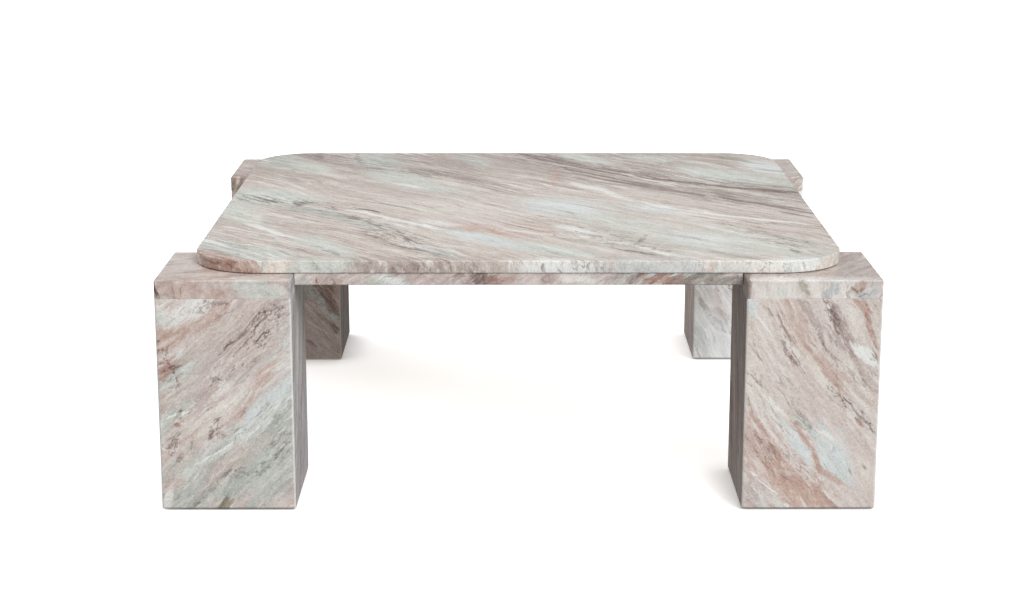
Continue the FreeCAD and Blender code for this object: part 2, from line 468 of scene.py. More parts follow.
# The lens of a vein: where its rim starts and ends, its reach by a stroke's size, and how ragged it is
VEIN_RIM = (1.1, 0.55)
VEIN_LENGTH = 0.62
VEIN_BREADTH = 0.7
VEIN_GIVE = 0.004
FIBRE_RAG = 1.2
MOTTLE_RAG = 1.3
WISP_RAG = 2.2
STRAND_RAG = 1.2
CALM_RAG = 0.4
# Light and dark in the grain of the stone, and how much each noise adds to it
GRAIN_DARK = (84, 74, 70)
GRAIN_DIM = (174, 171, 170)
GRAIN_MILD = (198, 198, 197)
GRAIN_PALE = (252, 253, 250)
GRAIN_TONES = [(0.30, GRAIN_DARK), (0.44, GRAIN_DIM), (0.55, GRAIN_MILD), (0.70, GRAIN_PALE)]
WISP_SHARE = 0.7
MOTTLE_SHARE = 0.6
STRAND_SHARE = 0.35
GRAIN_SHARE = 0.5
SPECK_GREY = (160, 150, 146)
SPECK_TONES = [(0.28, SPECK_GREY), (0.42, SNOW)]
SPECK_SHARE = 0.4
# The surface of the stone: the painted highlight along the upright arrises, the polish and what dulls it
ARRIS_HIGHLIGHT_RAMP = 0.002
ARRIS_HIGHLIGHT = 0.45
POLISHED = 0.16
HONED = 0.5
FIBRE_DULLNESS = 0.12
HAIR_DULLNESS = 0.25
STONE_IOR = 1.5


def vein_tree():
    """One vein: a lens of another stone with a ragged rim. It gives way a little to the colour below it."""
    (colour, sheet, rag, lines, place, turn, size, stone, strength), finished = new_tree("vein", {
        "Colour": "Color", "Sheet": "Vector", "Rag": "Float", "Lines": "Float", "Place": "Vector",
        "Turn": "Vector", "Size": "Vector", "Stone": "Color", "Strength": "Float"}, "Shader", "Color")
    given = colour.node("ShaderNodeVectorMath", {"operation": "MULTIPLY_ADD"},
                        {0: colour, 1: (VEIN_GIVE,) * 3, 2: sheet})
    lens = given.placed(place, turn, size)
    reach = lens.node("ShaderNodeVectorMath", {"operation": "LENGTH"}, {0: lens}, 1)
    share = (reach + rag).step(*VEIN_RIM) * strength * lines
    return finished(colour.blended(stone, share))


vein = vein_tree()


def marble_finish(name, centre, face_turn, flow, seed, drawings, bed=PINK_BED, contrast=0.8, stretch=1.0,
                  arris=None, honed=None):
    """Polished marble. Its streaks run at the angle flow on a face round a centre, which is turned from the
    floor plan by face_turn. A drawing lays single veins over one face: its centre, turn, depth and strokes.
    The arris is how far from the centre the face's upright edges start, where a highlight is painted on.
    A honed side is left less glossy: its centre, turn and depth."""
    material, shader, spot = new_finish(name)

    def wandering(place, way, ease=1.0):
        """These coordinates, pushed about by noise."""
        fineness, reach, number, detail = way
        push = place.cloud((fineness,) * 3, seed + number, detail, WANDER_ROUGHNESS, 1)
        push = push.node("ShaderNodeVectorMath", {"operation": "MULTIPLY_ADD"},
                         {0: push, 1: (2 * reach / ease,) * 3, 2: (-reach / ease,) * 3})
        return place.node("ShaderNodeVectorMath", {"operation": "ADD"}, {0: place, 1: push})

    def noise(place, way):
        fineness, number, detail, rough = way
        return place.cloud(fineness, seed + number, detail, rough)

    face = spot.placed(centre, face_turn)
    along = wandering(wandering(face, STREAK_CRUMPLE, stretch), STREAK_SWAY)
    along = along.placed((0, 0, 0), (0, 0, math.radians(flow)), (stretch, 1, 1))
    beds, zone, fibre, mottle = [noise(along, way) for way in (BEDS, ZONE, FIBRE, MOTTLE)]
    thread, seam, patch, wisp, strand = [noise(along, way) for way in (THREAD, SEAM, PATCH, WISP, STRAND)]
    colour = beds.toned(bed).blended(beds.toned(GREEN_BED), zone.step(*GREEN_ZONE))
    colour = colour.blended(tint(TERRACOTTA), patch.step(*TERRACOTTA_PATCH))
    colour = colour.blended(tint(CHALK), abs(seam - NOISE_MIDDLE).step(*CHALK_SEAM) * zone.step(*SEAM_ZONE))
    rag = (fibre - NOISE_MIDDLE) * FIBRE_RAG + (mottle - NOISE_MIDDLE) * MOTTLE_RAG
    rag = rag + (wisp - NOISE_MIDDLE) * WISP_RAG + (strand - NOISE_MIDDLE) * STRAND_RAG
    calm = rag * CALM_RAG
    lines = STRAND_LEAST + strand.step(*STRAND_LINE)
    cracks = abs(noise(along, RIDGE) - NOISE_MIDDLE).step(*CRACK_LINE)
    for sheet_centre, sheet_turn, depth, strokes in drawings:
        sheet = wandering(wandering(spot.placed(sheet_centre, sheet_turn), VEIN_CRUMPLE), VEIN_SWAY)
        for start_x, start_y, end_x, end_y, breadth, stone, strength in strokes:
            run = Vector((end_x - start_x, end_y - start_y))
            colour = colour.node("ShaderNodeGroup", {"node_tree": vein}, {
                "Colour": colour, "Sheet": sheet, "Rag": calm if stone in CALM_STONES else rag,
                "Lines": cracks if stone == SOOT else lines if stone in DARK_STONES else 1.0,
                "Place": ((start_x + end_x) / 2, (start_y + end_y) / 2, 0),
                "Turn": (0, 0, math.atan2(run.y, run.x)),
                "Size": (VEIN_LENGTH * run.length, VEIN_BREADTH * breadth, depth),
                "Stone": tint(stone), "Strength": strength})
    hair = abs(thread - NOISE_MIDDLE).step(*HAIR_LINE) * patch.step(*HAIR_ZONE) * mottle.step(*HAIR_BREAK)
    colour = colour.blended(tint(UMBER), hair * HAIR_SHARE)
    grain = noise(spot, GRAIN)
    for pattern, share in [(wisp, WISP_SHARE), (mottle, MOTTLE_SHARE), (strand, STRAND_SHARE),
                           (grain, GRAIN_SHARE)]:
        colour = colour.blended(pattern.toned(GRAIN_TONES), share * contrast, "SOFT_LIGHT")
    colour = colour.blended(noise(spot, SPECKS).toned(SPECK_TONES), SPECK_SHARE, "MULTIPLY")
    # A paler chalk stripe along the upright arrises: a painted highlight where the polished edge catches the
    # light
    if arris:
        painted_highlight = abs(face.axis(0)).step(arris, arris + ARRIS_HIGHLIGHT_RAMP, ARRIS_HIGHLIGHT)
        colour = colour.blended(tint(CHALK), painted_highlight)
    roughness = POLISHED + FIBRE_DULLNESS * fibre + HAIR_DULLNESS * hair
    if honed:
        side_centre, side_turn, side_depth = honed
        gap = abs(spot.placed(side_centre, side_turn).axis(2))
        roughness = roughness + gap.step(side_depth, side_depth / 2, HONED - POLISHED)
    bump = roughened(spot, fibre - hair, strength=0.04, depth=0.0003)
    feed(shader, Base_Color=colour, Roughness=roughness, Normal=bump, IOR=STONE_IOR)
    return material


def mirrored(strokes, across, upward):
    """The same veins mirrored sideways or upside down, as on panels that were sawn from one block."""
    side, rise = 1 - 2 * across, 1 - 2 * upward
    left, foot = 100 * across, 100 * upward
    return [(left + side * x0, foot + rise * y0, left + side * x1, foot + rise * y1, *rest)
            for x0, y0, x1, y1, *rest in strokes]


def on_face(width, height, strokes):
    """Strokes in percent of a face, from its lower left corner, as metres from its middle."""
    return [((x0 - 50) / 100 * width, (y0 - 50) / 100 * height, (x1 - 50) / 100 * width,
             (y1 - 50) / 100 * height, breadth / 100 * width, stone, strength / 100)
            for x0, y0, x1, y1, breadth, stone, strength in strokes]


# Strokes in percent of a face: start across and up, end across and up, breadth, the stone and its strength
LEFT_FRONT_STROKES = [
    (50, -30, 50, 130, 300, TAUPE, 15), (0, 46, 36, 60, 13, SAND, 60), (48, 54, 74, 67, 10, TAUPE, 40),
    (48, 0, 100, 20, 22, LICHEN, 45), (2, 57, 15, 68, 10, RUST, 50), (12, 2, 40, 18, 16, LICHEN, 60),
    (2, 16, 52, 26, 14, SAGE, 45), (0, 74, 50, 90, 11, TERRACOTTA, 50), (0, 69, 20, 78, 8, TERRACOTTA, 45),
    (20, 66, 75, 87, 16, FAWN, 60), (26, 54, 62, 72, 18, BLUSH, 45), (2, 60, 8, 66, 8, RUST, 40),
    (68, 52, 94, 69, 9, TERRACOTTA, 50), (42, 33, 72, 50, 10, TERRACOTTA, 40),
    (38, 34, 62, 52, 10, CREAM, 65), (60, 50, 73, 58, 5, CREAM, 55), (55, 5, 102, 36, 32, LICHEN, 40),
    (28, 0, 58, 16, 13, SAGE, 65), (8, 0, 30, 17, 14, SAGE, 60), (14, 16, 28, 20, 5, MINT, 65),
    (38, 14, 82, 31, 12, FAWN, 60), (80, 0, 102, 8, 12, BLUSH, 50), (3, 11, 10, 15, 5, MAUVE, 55),
    (-2, 5, 3, 8, 4, DEEP_MAUVE, 55), (72, 0, 106, 34, 32, MINT, 45), (5, 81, 42, 92.5, 12, CHALK, 75),
    (-2, 80, 14, 84, 5, MINT, 75), (20, 19, 50, 27, 3, MINT, 80), (46, 25.5, 67, 34.5, 5, MINT, 90),
    (62, 31, 73, 41, 8, ICE, 92), (68, 38.5, 81, 47.5, 9, ICE, 95), (78, 45, 93, 55, 6, ICE, 80),
    (88, 50, 102, 61, 5, ICE, 85), (22, 19.5, 66, 33, 1, CHALK, 80), (4, 38.5, 14, 42.5, 2.2, CHALK, 75),
    (12, 41, 25, 44.5, 2.2, CHALK, 75), (2, 25.5, 18, 28.5, 3, CREAM, 60), (5, 21, 14, 25, 4, MINT, 60),
    (-1, 28.5, 6, 26.3, 1.2, CHALK, 85), (4, 2, 9, 10, 6, CHALK, 65), (30, 8.5, 43, 17.5, 1, BLUSH, 75),
    (88, 32, 95, 39, 0.7, CHALK, 55), (50, 45, 60, 50, 2, CHALK, 50), (42, 91.2, 51, 90.5, 2, UMBER, 78),
    (44, 84.3, 59, 88.8, 1, UMBER, 60), (29, 82.5, 37, 85.8, 0.9, UMBER, 46),
    (60, 75.3, 71, 79.5, 3.4, UMBER, 78), (66, 79, 84, 86.2, 2, UMBER, 64),
    (80, 83.2, 96, 87.8, 1.6, UMBER, 60), (81, 87.8, 94, 90.8, 2.2, UMBER, 64),
    (82, 83.8, 81, 79.8, 1.1, UMBER, 60), (90.5, 84, 89.8, 80, 1.3, UMBER, 55),
    (74.3, 73.3, 78.8, 77.3, 1.6, UMBER, 78), (82, 75.2, 88.5, 78.7, 0.9, UMBER, 55),
    (54.5, 69.3, 69, 73.8, 1.1, UMBER, 69), (11.8, 72.5, 9.3, 66.5, 1.5, UMBER, 64),
    (8.5, 66, 14.2, 58.3, 1.8, UMBER, 74), (14, 58.8, 17.8, 54.8, 1.6, UMBER, 64),
    (17.6, 55.2, 13.8, 52.3, 1.1, UMBER, 55), (41.5, 63.3, 50.5, 66.7, 0.9, SLATE, 60),
    (40.3, 60.5, 42.2, 57.8, 1.8, SLATE, 74), (46.3, 61.2, 47.2, 58.8, 1.1, SLATE, 60),
    (19, 59, 31.5, 60.2, 0.8, SLATE, 50), (54, 60.3, 60, 62.2, 0.9, SLATE, 50),
    (59, 55.7, 67, 58.8, 0.9, SLATE, 50), (63.2, 63.8, 65, 65.2, 1.5, UMBER, 64),
    (67.2, 59, 69, 60, 1.3, UMBER, 55), (41.2, 31.5, 44.8, 35.8, 2.8, UMBER, 74),
    (43.8, 36.8, 51.5, 42.2, 1.2, UMBER, 74), (45.5, 33, 51.5, 37.2, 2.6, RUST, 55),
    (14, 22.2, 18.8, 25.8, 3.6, UMBER, 69), (15, 24.5, 20.5, 22.8, 2.2, RUST, 50),
    (3, 27.3, 12.5, 31.7, 1.1, UMBER, 74), (11, 31, 19.5, 34.2, 1.3, UMBER, 64),
    (13.5, 36.8, 17.5, 37.6, 2.2, RUST, 70), (4.5, 38.3, 10.5, 42.3, 1.5, SLATE, 64),
    (11.5, 42.3, 26, 45.8, 0.9, SLATE, 55), (24.8, 28.2, 27.8, 30.8, 1.5, UMBER, 74),
    (38.5, 43.5, 40.2, 44.7, 1.5, UMBER, 64), (29, 47.5, 31, 48.7, 1.4, UMBER, 60),
    (46, 15.2, 57, 18.2, 2.1, SLATE, 55), (55, 16.7, 69, 16.3, 1.5, SLATE, 55),
    (65, 16.7, 81, 20.7, 1.5, SLATE, 60), (69, 14.3, 83, 18.3, 1.5, SLATE, 55),
    (86.5, 23.7, 93.5, 26.2, 2.2, SLATE, 64), (85, 28.7, 87.2, 32.2, 1.2, SLATE, 55),
    (25.5, 2.7, 30.5, 4.7, 2.2, SLATE, 64), (35.5, 7.8, 42.5, 12.2, 2.2, SLATE, 42),
    (43, 0, 55, 4.5, 6.5, OLIVE, 70), (58, 74, 98, 90, 13, SOOT, 64), (70, 70, 92, 80, 8, SOOT, 56),
    (4, 72, 16, 53, 10, SOOT, 60), (40, 30, 54, 42, 7, SOOT, 64), (2, 25, 20, 34, 8, SOOT, 56),
    (45, 14, 84, 20, 6, SOOT, 45), (38, 56, 70, 66, 8, SOOT, 45), (82, 22, 96, 30, 7, SOOT, 45),
    (4, 38, 28, 46, 5, SOOT, 49), (10, 85, 50, 92, 6, SOOT, 34),
]
RIGHT_FRONT_STROKES = [
    (50, -30, 50, 130, 300, BLUSH, 75), (10, 98, 36, 44, 50, CREAM, 40), (84, 38, 102, 22, 10, BLUSH, 55),
    (70, 54, 95, 36, 12, BLUSH, 50), (5, 36, 40, 2, 34, TERRACOTTA, 40),
    (27, 93, 46, 71, 13, TERRACOTTA, 50), (39, 93, 59, 75, 5, MAUVE, 65), (62, 91, 81, 71, 12, MAUVE, 70),
    (70, 92, 88, 77, 10, CREAM, 80), (78, 91.7, 94, 85.5, 5, TERRACOTTA, 75),
    (90, 87.5, 97.5, 73.5, 3, RUST, 55), (80, 70, 100, 57, 7, MAUVE, 35), (50, 66, 66, 54, 8, CREAM, 75),
    (74, 68, 95, 51, 5, CREAM, 65), (55, 70, 76, 54, 8, TERRACOTTA, 40), (63, 60.5, 72, 57.5, 6, RUST, 22),
    (18, 76, 32, 53, 12, BLUSH, 55), (30, 66, 62, 42, 20, ROSE, 35), (-2, 59, 20, 48, 10, CREAM, 75),
    (4, 43, 19, 34, 6, RUST, 35), (10, 33, 36, 21, 4, RUST, 35), (18, 20, 68, -2, 28, TERRACOTTA, 85),
    (-2, 13, 12, 1, 12, MAUVE, 45), (1, 94, 8.5, 86.5, 9, ICE, 92), (8, 88.5, 21, 75.5, 1.8, CHALK, 75),
    (83, 72.5, 98, 65, 7, CHALK, 97), (17, 50.5, 31, 43.5, 2.4, CHALK, 75),
    (29, 45.5, 37, 39.5, 3, CHALK, 70), (33, 43.5, 40, 33, 6, CREAM, 80),
    (36.5, 37, 54, 21.5, 8.5, ICE, 95), (22, 44.5, 34, 32.5, 4.5, CHALK, 55),
    (44, 40, 61, 32.5, 7, MINT, 90), (61, 36, 81, 13.5, 18.5, ICE, 98), (55, 36.5, 71, 32.5, 3, CHALK, 80),
    (39.5, 38.5, 55.5, 27.5, 4.2, TERRACOTTA, 85), (54, 29.5, 62.5, 18.5, 4.6, TERRACOTTA, 85),
    (61, 20, 79, 11.5, 5, TERRACOTTA, 80), (87, 24, 101, 12, 8, CREAM, 75),
    (60.5, 15.5, 64, 13.5, 2.2, CHALK, 80), (-1, 25, 6.5, 21.7, 1.3, CREAM, 85),
    (8, 23.5, 19, 19.5, 2.2, BLUSH, 60), (8.5, 17.5, 14, 15.2, 2.2, CHALK, 75),
    (12, 14.5, 28.5, 5.8, 1.9, CHALK, 88), (31.5, 3.5, 36.5, 1.2, 2.2, CHALK, 85),
    (29, 18.3, 44, 16.3, 2.6, BLUSH, 65), (24.5, 85.5, 30.5, 78.5, 1, UMBER, 52),
    (29.5, 79.5, 36.5, 72.2, 1.2, UMBER, 55), (28.5, 74.5, 36.5, 66.2, 1.4, UMBER, 48),
    (36.5, 71.5, 45.5, 63.7, 1.1, UMBER, 52), (39.5, 66.5, 46.5, 60.5, 1.2, UMBER, 41),
    (17.5, 88.5, 21.5, 84.7, 1.1, UMBER, 35), (56.5, 91.7, 60.5, 88.7, 1.8, UMBER, 62),
    (58, 89.5, 64.5, 84.2, 2, UMBER, 62), (64, 85.3, 70.5, 82.8, 2.2, UMBER, 48),
    (64, 82, 72.5, 75.7, 1.8, UMBER, 64), (62, 89.5, 69, 84.5, 4.5, SLATE, 41),
    (75, 76, 77.5, 74.2, 2, UMBER, 55), (58.5, 89.5, 60.5, 87.5, 1.6, CHALK, 90),
    (79.5, 70.5, 83.5, 68.7, 1.4, UMBER, 55), (85, 63.5, 90.5, 58.8, 1.1, UMBER, 45),
    (89.5, 59, 95.5, 54.7, 1.1, UMBER, 45), (51.5, 79.5, 60.5, 72.8, 1, SLATE, 45),
    (59.5, 73.3, 74.5, 66.2, 1.2, SLATE, 45), (75.5, 66, 85.5, 55.7, 1, SLATE, 41),
    (56.5, 67.3, 66.5, 61.7, 1.2, RUST, 30), (66.5, 61.8, 70.5, 59.2, 1.4, UMBER, 48),
    (70, 57.3, 75, 52.7, 1.8, UMBER, 55), (65.5, 50.3, 69.5, 47.2, 2.4, UMBER, 55),
    (70, 47.2, 73.5, 45.7, 1.5, UMBER, 45), (78.5, 49.5, 87.5, 41.8, 1.3, UMBER, 62),
    (86.5, 42.5, 94.5, 37.7, 3, UMBER, 65), (95.5, 36, 98.5, 33.3, 1.5, UMBER, 48),
    (84.5, 40.3, 90.5, 36.7, 2.2, RUST, 50), (3, 60.5, 10.5, 55.7, 1.2, UMBER, 48),
    (9.5, 56.3, 20.5, 52.3, 1, UMBER, 41), (6.5, 73.5, 13.5, 65.7, 1.1, SLATE, 35),
    (24.5, 56.5, 30.5, 55.8, 1.4, SLATE, 35), (12.5, 32.3, 15.2, 31.2, 1.2, UMBER, 52),
    (16.5, 31.2, 33.5, 23.7, 1.1, UMBER, 41), (11.5, 25.5, 24.5, 18.3, 1, UMBER, 41),
    (38.5, 26.2, 42.5, 25.5, 1.5, UMBER, 48), (43, 19.3, 47, 17.8, 1.3, UMBER, 35),
    (70, 30, 72.5, 26.5, 2.2, SLATE, 24), (80, 22.5, 83.5, 17.5, 1.8, SLATE, 41),
    (92, 19.5, 94, 18.5, 1.6, UMBER, 41), (55, 92, 76, 74, 8, SOOT, 51), (23, 86, 46, 61, 7, SOOT, 42),
    (64, 58, 78, 45, 7, SOOT, 42), (78, 50, 98, 34, 6, SOOT, 48), (8, 34, 36, 18, 8, SOOT, 33),
    (50, 80, 86, 56, 5, SOOT, 33), (2, 62, 22, 52, 5, SOOT, 36),
]
WHOLE_GREY = [
    (50, -100, 50, 200, 500, ASH, 60), (10, 20, 45, 75, 10, ICE, 70), (50, 40, 85, 95, 10, ICE, 65),
    (35, 5, 65, 50, 6, SLATE, 60), (60, 5, 95, 50, 10, BLUE_GREY, 70), (5, 55, 30, 90, 5, SLATE, 60),
    (30, 60, 50, 88, 2, CHALK, 80), (75, 55, 95, 85, 3, SLATE, 60),
]
# Faces that look in under the table: a dark brown wash over their veins is painted shade
SHADED_INNER_STROKES = [
    (50, -100, 50, 200, 500, INNER_SHADE_BROWN, 70), (10, 80, 40, 30, 12, MAUVE, 50), (45, 70, 75, 15, 10, UMBER, 80),
    (60, 90, 95, 40, 10, MAUVE, 45), (2, 50, 25, 10, 8, UMBER, 70), (30, 95, 55, 60, 6, SAGE, 45),
    (70, 35, 95, 2, 6, SAGE, 40), (20, 65, 45, 25, 2, CREAM, 50),
]
WHOLE_PALE = [
    (50, -100, 50, 200, 500, SNOW, 88), (2, 46, 10, 2, 20, ICE, 50), (10, 12, 60, 2, 22, ICE, 45),
    (8, 40, 34, 26, 14, BLUSH, 45), (10, 31, 34, 20, 8, TAUPE, 38), (30, 44, 44, 28, 10, ROSE, 38),
    (16, 24, 40, 14, 8, BLUE_GREY, 28), (0, 20, 20, 10, 8, SAGE, 22), (10, 85, 50, 60, 12, ROSE, 35),
    (45, 30, 80, 8, 10, SAGE, 35), (22, 42, 27, 34, 5, RUST, 30), (24, 38, 36, 19, 2, CHALK, 90),
    (20, 42, 27, 37, 4, SOOT, 60), (32, 43, 40, 36, 4, SOOT, 50), (26, 19, 42, 12, 4, SOOT, 40),
    (12, 27, 30, 21, 1.5, CHALK, 70),
]
DARK_MOTTLE = [
    (50, -100, 50, 200, 500, TERRACOTTA, 65), (20, 95, 60, 75, 16, UMBER, 40),
    (45, 80, 80, 60, 14, SAGE, 50), (10, 60, 45, 40, 14, UMBER, 40), (20, 30, 60, 10, 14, SAGE, 40),
    (60, 20, 104, 0, 30, BLUSH, 40), (84, 44, 97, 25, 14, UMBER, 65), (66, 42, 80, 34, 10, SAGE, 80),
    (76, 37, 90, 27, 7, MINT, 85), (84, 29, 100, 20, 6, MINT, 85), (64, 34, 82, 24, 10, BLUSH, 45),
    (78, 26.5, 96, 17.5, 3, UMBER, 60), (67, 24, 83, 17.5, 2, CREAM, 80), (81, 18.5, 98, 12, 2, CREAM, 80),
    (90, 19, 100, 15, 5, UMBER, 75), (70, 44, 84, 40, 4, UMBER, 85), (77, 9, 93, 2, 2, BLUSH, 60),
    (66, 12, 80, 7, 3, UMBER, 40), (68, 43, 98, 22, 20, SOOT, 40),
]
# For each panel its veins, if they are mirrored sideways and upside down, and the angle of its streaks
panel_veins = {
    "front_left": {"front": (LEFT_FRONT_STROKES, 0, 0, 40), "right": (WHOLE_GREY, 0, 0, 62),
                   "rear": (RIGHT_FRONT_STROKES, 1, 0, 55), "left": (LEFT_FRONT_STROKES, 1, 0, -40)},
    "front_right": {"front": (RIGHT_FRONT_STROKES, 0, 0, -55), "right": (RIGHT_FRONT_STROKES, 1, 0, 55),
                    "rear": (LEFT_FRONT_STROKES, 0, 1, -40), "left": (SHADED_INNER_STROKES, 0, 0, -62)},
    "rear_left": {"front": (DARK_MOTTLE, 0, 0, -45), "right": (SHADED_INNER_STROKES, 1, 0, 60),
                  "rear": (RIGHT_FRONT_STROKES, 1, 1, -55), "left": (RIGHT_FRONT_STROKES, 0, 1, 55)},
    "rear_right": {"front": (WHOLE_PALE, 0, 0, -60), "right": (LEFT_FRONT_STROKES, 0, 0, 40),
                   "rear": (LEFT_FRONT_STROKES, 1, 0, -40), "left": (SHADED_INNER_STROKES, 0, 1, -58)},
}
quarter_turns = {"front": 0, "right": 1, "rear": 2, "left": 3}
DRAWING_DEPTH = 0.15
PANEL_ARRIS = 0.0025
LEG_SEED = 10
PANEL_SEED = 2.3


def upright(quarter):
    """The turn from the floor plan to an upright face, so many quarter turns from the front."""
    return (math.pi / 2, 0, quarter * math.pi / 2)


for number, leg in enumerate(leg_names, start=1):
    cap_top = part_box(leg + "_leg_cap")[1].z
    for facing, quarter in quarter_turns.items():
        node = leg + "_leg_" + facing + "_panel"
        low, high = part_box(node)
        width = max(high.x - low.x, high.y - low.y)
        middle = Vector(((low.x + high.x) / 2, (low.y + high.y) / 2, (low.z + cap_top) / 2))
        veins, across, upward, flow = panel_veins[leg][facing]
        strokes = on_face(width, cap_top - low.z, mirrored(veins, across, upward))
        drawing = (middle, upright(quarter), DRAWING_DEPTH, strokes)
        honed = (middle, upright(quarter), DRAWING_DEPTH) if veins in (WHOLE_GREY, SHADED_INNER_STROKES) else None
        seed = LEG_SEED * number + PANEL_SEED * quarter
        dress(node, marble_finish(node + "_marble", middle, upright(quarter), flow, seed, [drawing],
                                  arris=width / 2 - PANEL_ARRIS, honed=honed))

# Leg caps
# A thicker marble slab closes the top of each leg and carries the table top.
# Its edges line up with the panels, and a fine bevelled seam shows the joint.
CAP_FRONT_DEPTH = 0.03
CAP_TOP_DEPTH = 0.012
CAP_SIDE_DEPTH = 0.008
CAP_SEED = 71
CAP_SEED_STEP = 7
FLAT = (0, 0, 0)
LEFT_CAP_STROKES = [
    (50, -900, 50, 1000, 300, TAUPE, 35), (5, 60, 60, 45, 14, TERRACOTTA, 45),
    (60, 75, 97, 25, 12, MINT, 75), (88, 90, 100, 30, 5, CREAM, 60), (6, 20, 14, 10, 5, MINT, 70),
    (0, 105, 6.5, 10, 2.4, UMBER, 92), (0.5, 50, 3, 10, 1.4, SLATE, 70), (61, 50, 63.5, 45, 1.4, SLATE, 80),
    (17, 80, 17.5, 20, 1, SLATE, 50), (22, 85, 22.5, 20, 1, SLATE, 45),
]
RIGHT_CAP_STROKES = [
    (0, 50, 100, 50, 30, CHALK, 55), (14, 65, 42, 40, 14, CREAM, 85), (22, 40, 34, 25, 6, MINT, 60),
    (3, 90, 11, 20, 6, ROSE, 65), (-1, 100, 2, 10, 4, OLIVE, 75), (48, 70, 56, 30, 9, CREAM, 85),
    (42, 100, 46, 35, 3.2, OLIVE, 45), (57, 10, 70, 105, 6, BLUE_GREY, 50), (70, 70, 76, 30, 6, CREAM, 75),
    (80, 30, 99, 60, 10, BLUE_GREY, 42), (75, 80, 90, 90, 5, TERRACOTTA, 60),
    (75.5, 95, 80, 50, 1.4, OLIVE, 75), (79, 50, 86.5, 75, 1.4, RUST, 50),
    (83, 25, 88.5, 50, 0.9, SLATE, 70), (89.5, 40, 94.5, 72, 0.9, SLATE, 70),
]
REAR_LEFT_CAP_STROKES = [
    (0, 50, 100, 50, 30, SEPIA, 55), (2, 60, 30, 40, 8, OLIVE, 60), (30, 90, 40, 10, 3, UMBER, 60),
    (55, 70, 80, 30, 6, SAGE, 60),
]
REAR_RIGHT_CAP_STROKES = [
    (0, 50, 100, 50, 30, TAUPE, 55), (60, 80, 64, 30, 2, UMBER, 80), (75, 60, 79, 40, 2, UMBER, 80),
    (86, 80, 92, 20, 2, SLATE, 80), (10, 60, 40, 40, 6, CREAM, 50),
]
cap_front_strokes = {"front_left": LEFT_CAP_STROKES, "front_right": RIGHT_CAP_STROKES,
                     "rear_left": REAR_LEFT_CAP_STROKES, "rear_right": REAR_RIGHT_CAP_STROKES}
cap_top_strokes = {
    "front_left": [(50, -30, 50, 130, 300, TAUPE, 40)],
    "front_right": [(50, -30, 50, 130, 300, TAUPE, 80)],
    "rear_left": [(50, -30, 50, 130, 300, TAUPE, 70), (-10, 25, 110, 20, 8, SEPIA, 60),
                  (-10, 60, 110, 55, 6, SEPIA, 50)],
    "rear_right": [(50, -30, 50, 130, 300, TAUPE, 55)],
}
# The inward sides of the caps take the same veins; the brown ones carry the painted shade
cap_side_strokes = {"front_left": ("right", WHOLE_GREY), "front_right": ("left", SHADED_INNER_STROKES),
                    "rear_left": ("right", SHADED_INNER_STROKES), "rear_right": ("left", SHADED_INNER_STROKES)}
cap_flows = {"front_left": 15, "front_right": 60, "rear_left": -30, "rear_right": 25}
for number, leg in enumerate(leg_names):
    node = leg + "_leg_cap"
    low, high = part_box(node)
    middle = (low + high) / 2
    width, depth, height = high - low
    facing, veins = cap_side_strokes[leg]
    top = Vector((middle.x, middle.y, high.z))
    front = Vector((middle.x, low.y, middle.z))
    side = Vector((high.x if facing == "right" else low.x, middle.y, middle.z))
    side_turn = upright(quarter_turns[facing])
    drawings = [(top, FLAT, CAP_TOP_DEPTH, on_face(width, depth, cap_top_strokes[leg])),
                (front, upright(0), CAP_FRONT_DEPTH, on_face(width, height, cap_front_strokes[leg])),
                (side, side_turn, CAP_SIDE_DEPTH, on_face(depth, height, veins))]
    seed = CAP_SEED + CAP_SEED_STEP * number
    dress(node, marble_finish(node + "_marble", middle, FLAT, cap_flows[leg], seed, drawings,
                              honed=(side, side_turn, CAP_SIDE_DEPTH)))

# Locating pins
# Two stainless pins are glued into each cap and stand up into blind holes in the slab.
# They keep the slab from sliding, and are covered once it lies in place.
STAINLESS_LIGHT = (206, 206, 204)
STAINLESS_DARK = (160, 160, 158)
STAINLESS_ROUGHNESS = 0.22
stainless = steel_finish("stainless_pin", STAINLESS_LIGHT, STAINLESS_DARK, STAINLESS_ROUGHNESS)
dress_in_each_leg("locating_pins", stainless)

# Bumper dots
# Thin dots of clear silicone are stuck to the caps, and the slab rests on them.
# They leave a fine dark line between the slab and the caps.
SILICONE_CLEAR = (214, 216, 216)
SILICONE_MILKY = (190, 192, 192)
SILICONE_HAZE = (160, 160, 160)
SILICONE_ROUGHNESS = 0.25
HAZE_DULLNESS = 0.2
SILICONE_IOR = 1.41


def silicone_finish():
    """Clear silicone, a little hazy."""
    material, shader, spot = new_finish("clear_silicone")
    haze = spot.cloud(SILICONE_HAZE, seed=9, detail=3.0)
    colour = haze.toned([(0.35, SILICONE_MILKY), (0.65, SILICONE_CLEAR)])
    feed(shader, Base_Color=colour, Roughness=SILICONE_ROUGHNESS + HAZE_DULLNESS * haze)
    feed(shader, Transmission_Weight=0.6, IOR=SILICONE_IOR)
    return material


dress_in_each_leg("bumper_dots", silicone_finish())

# Support boards
# Three boards of birch plywood are bonded under the slab, in a cross between the caps.
# They stiffen the stone, and the edge strips hide them from the sides.
for place in ["centre", "left", "right"]:
    dress(place + "_support_board", birch_plywood)

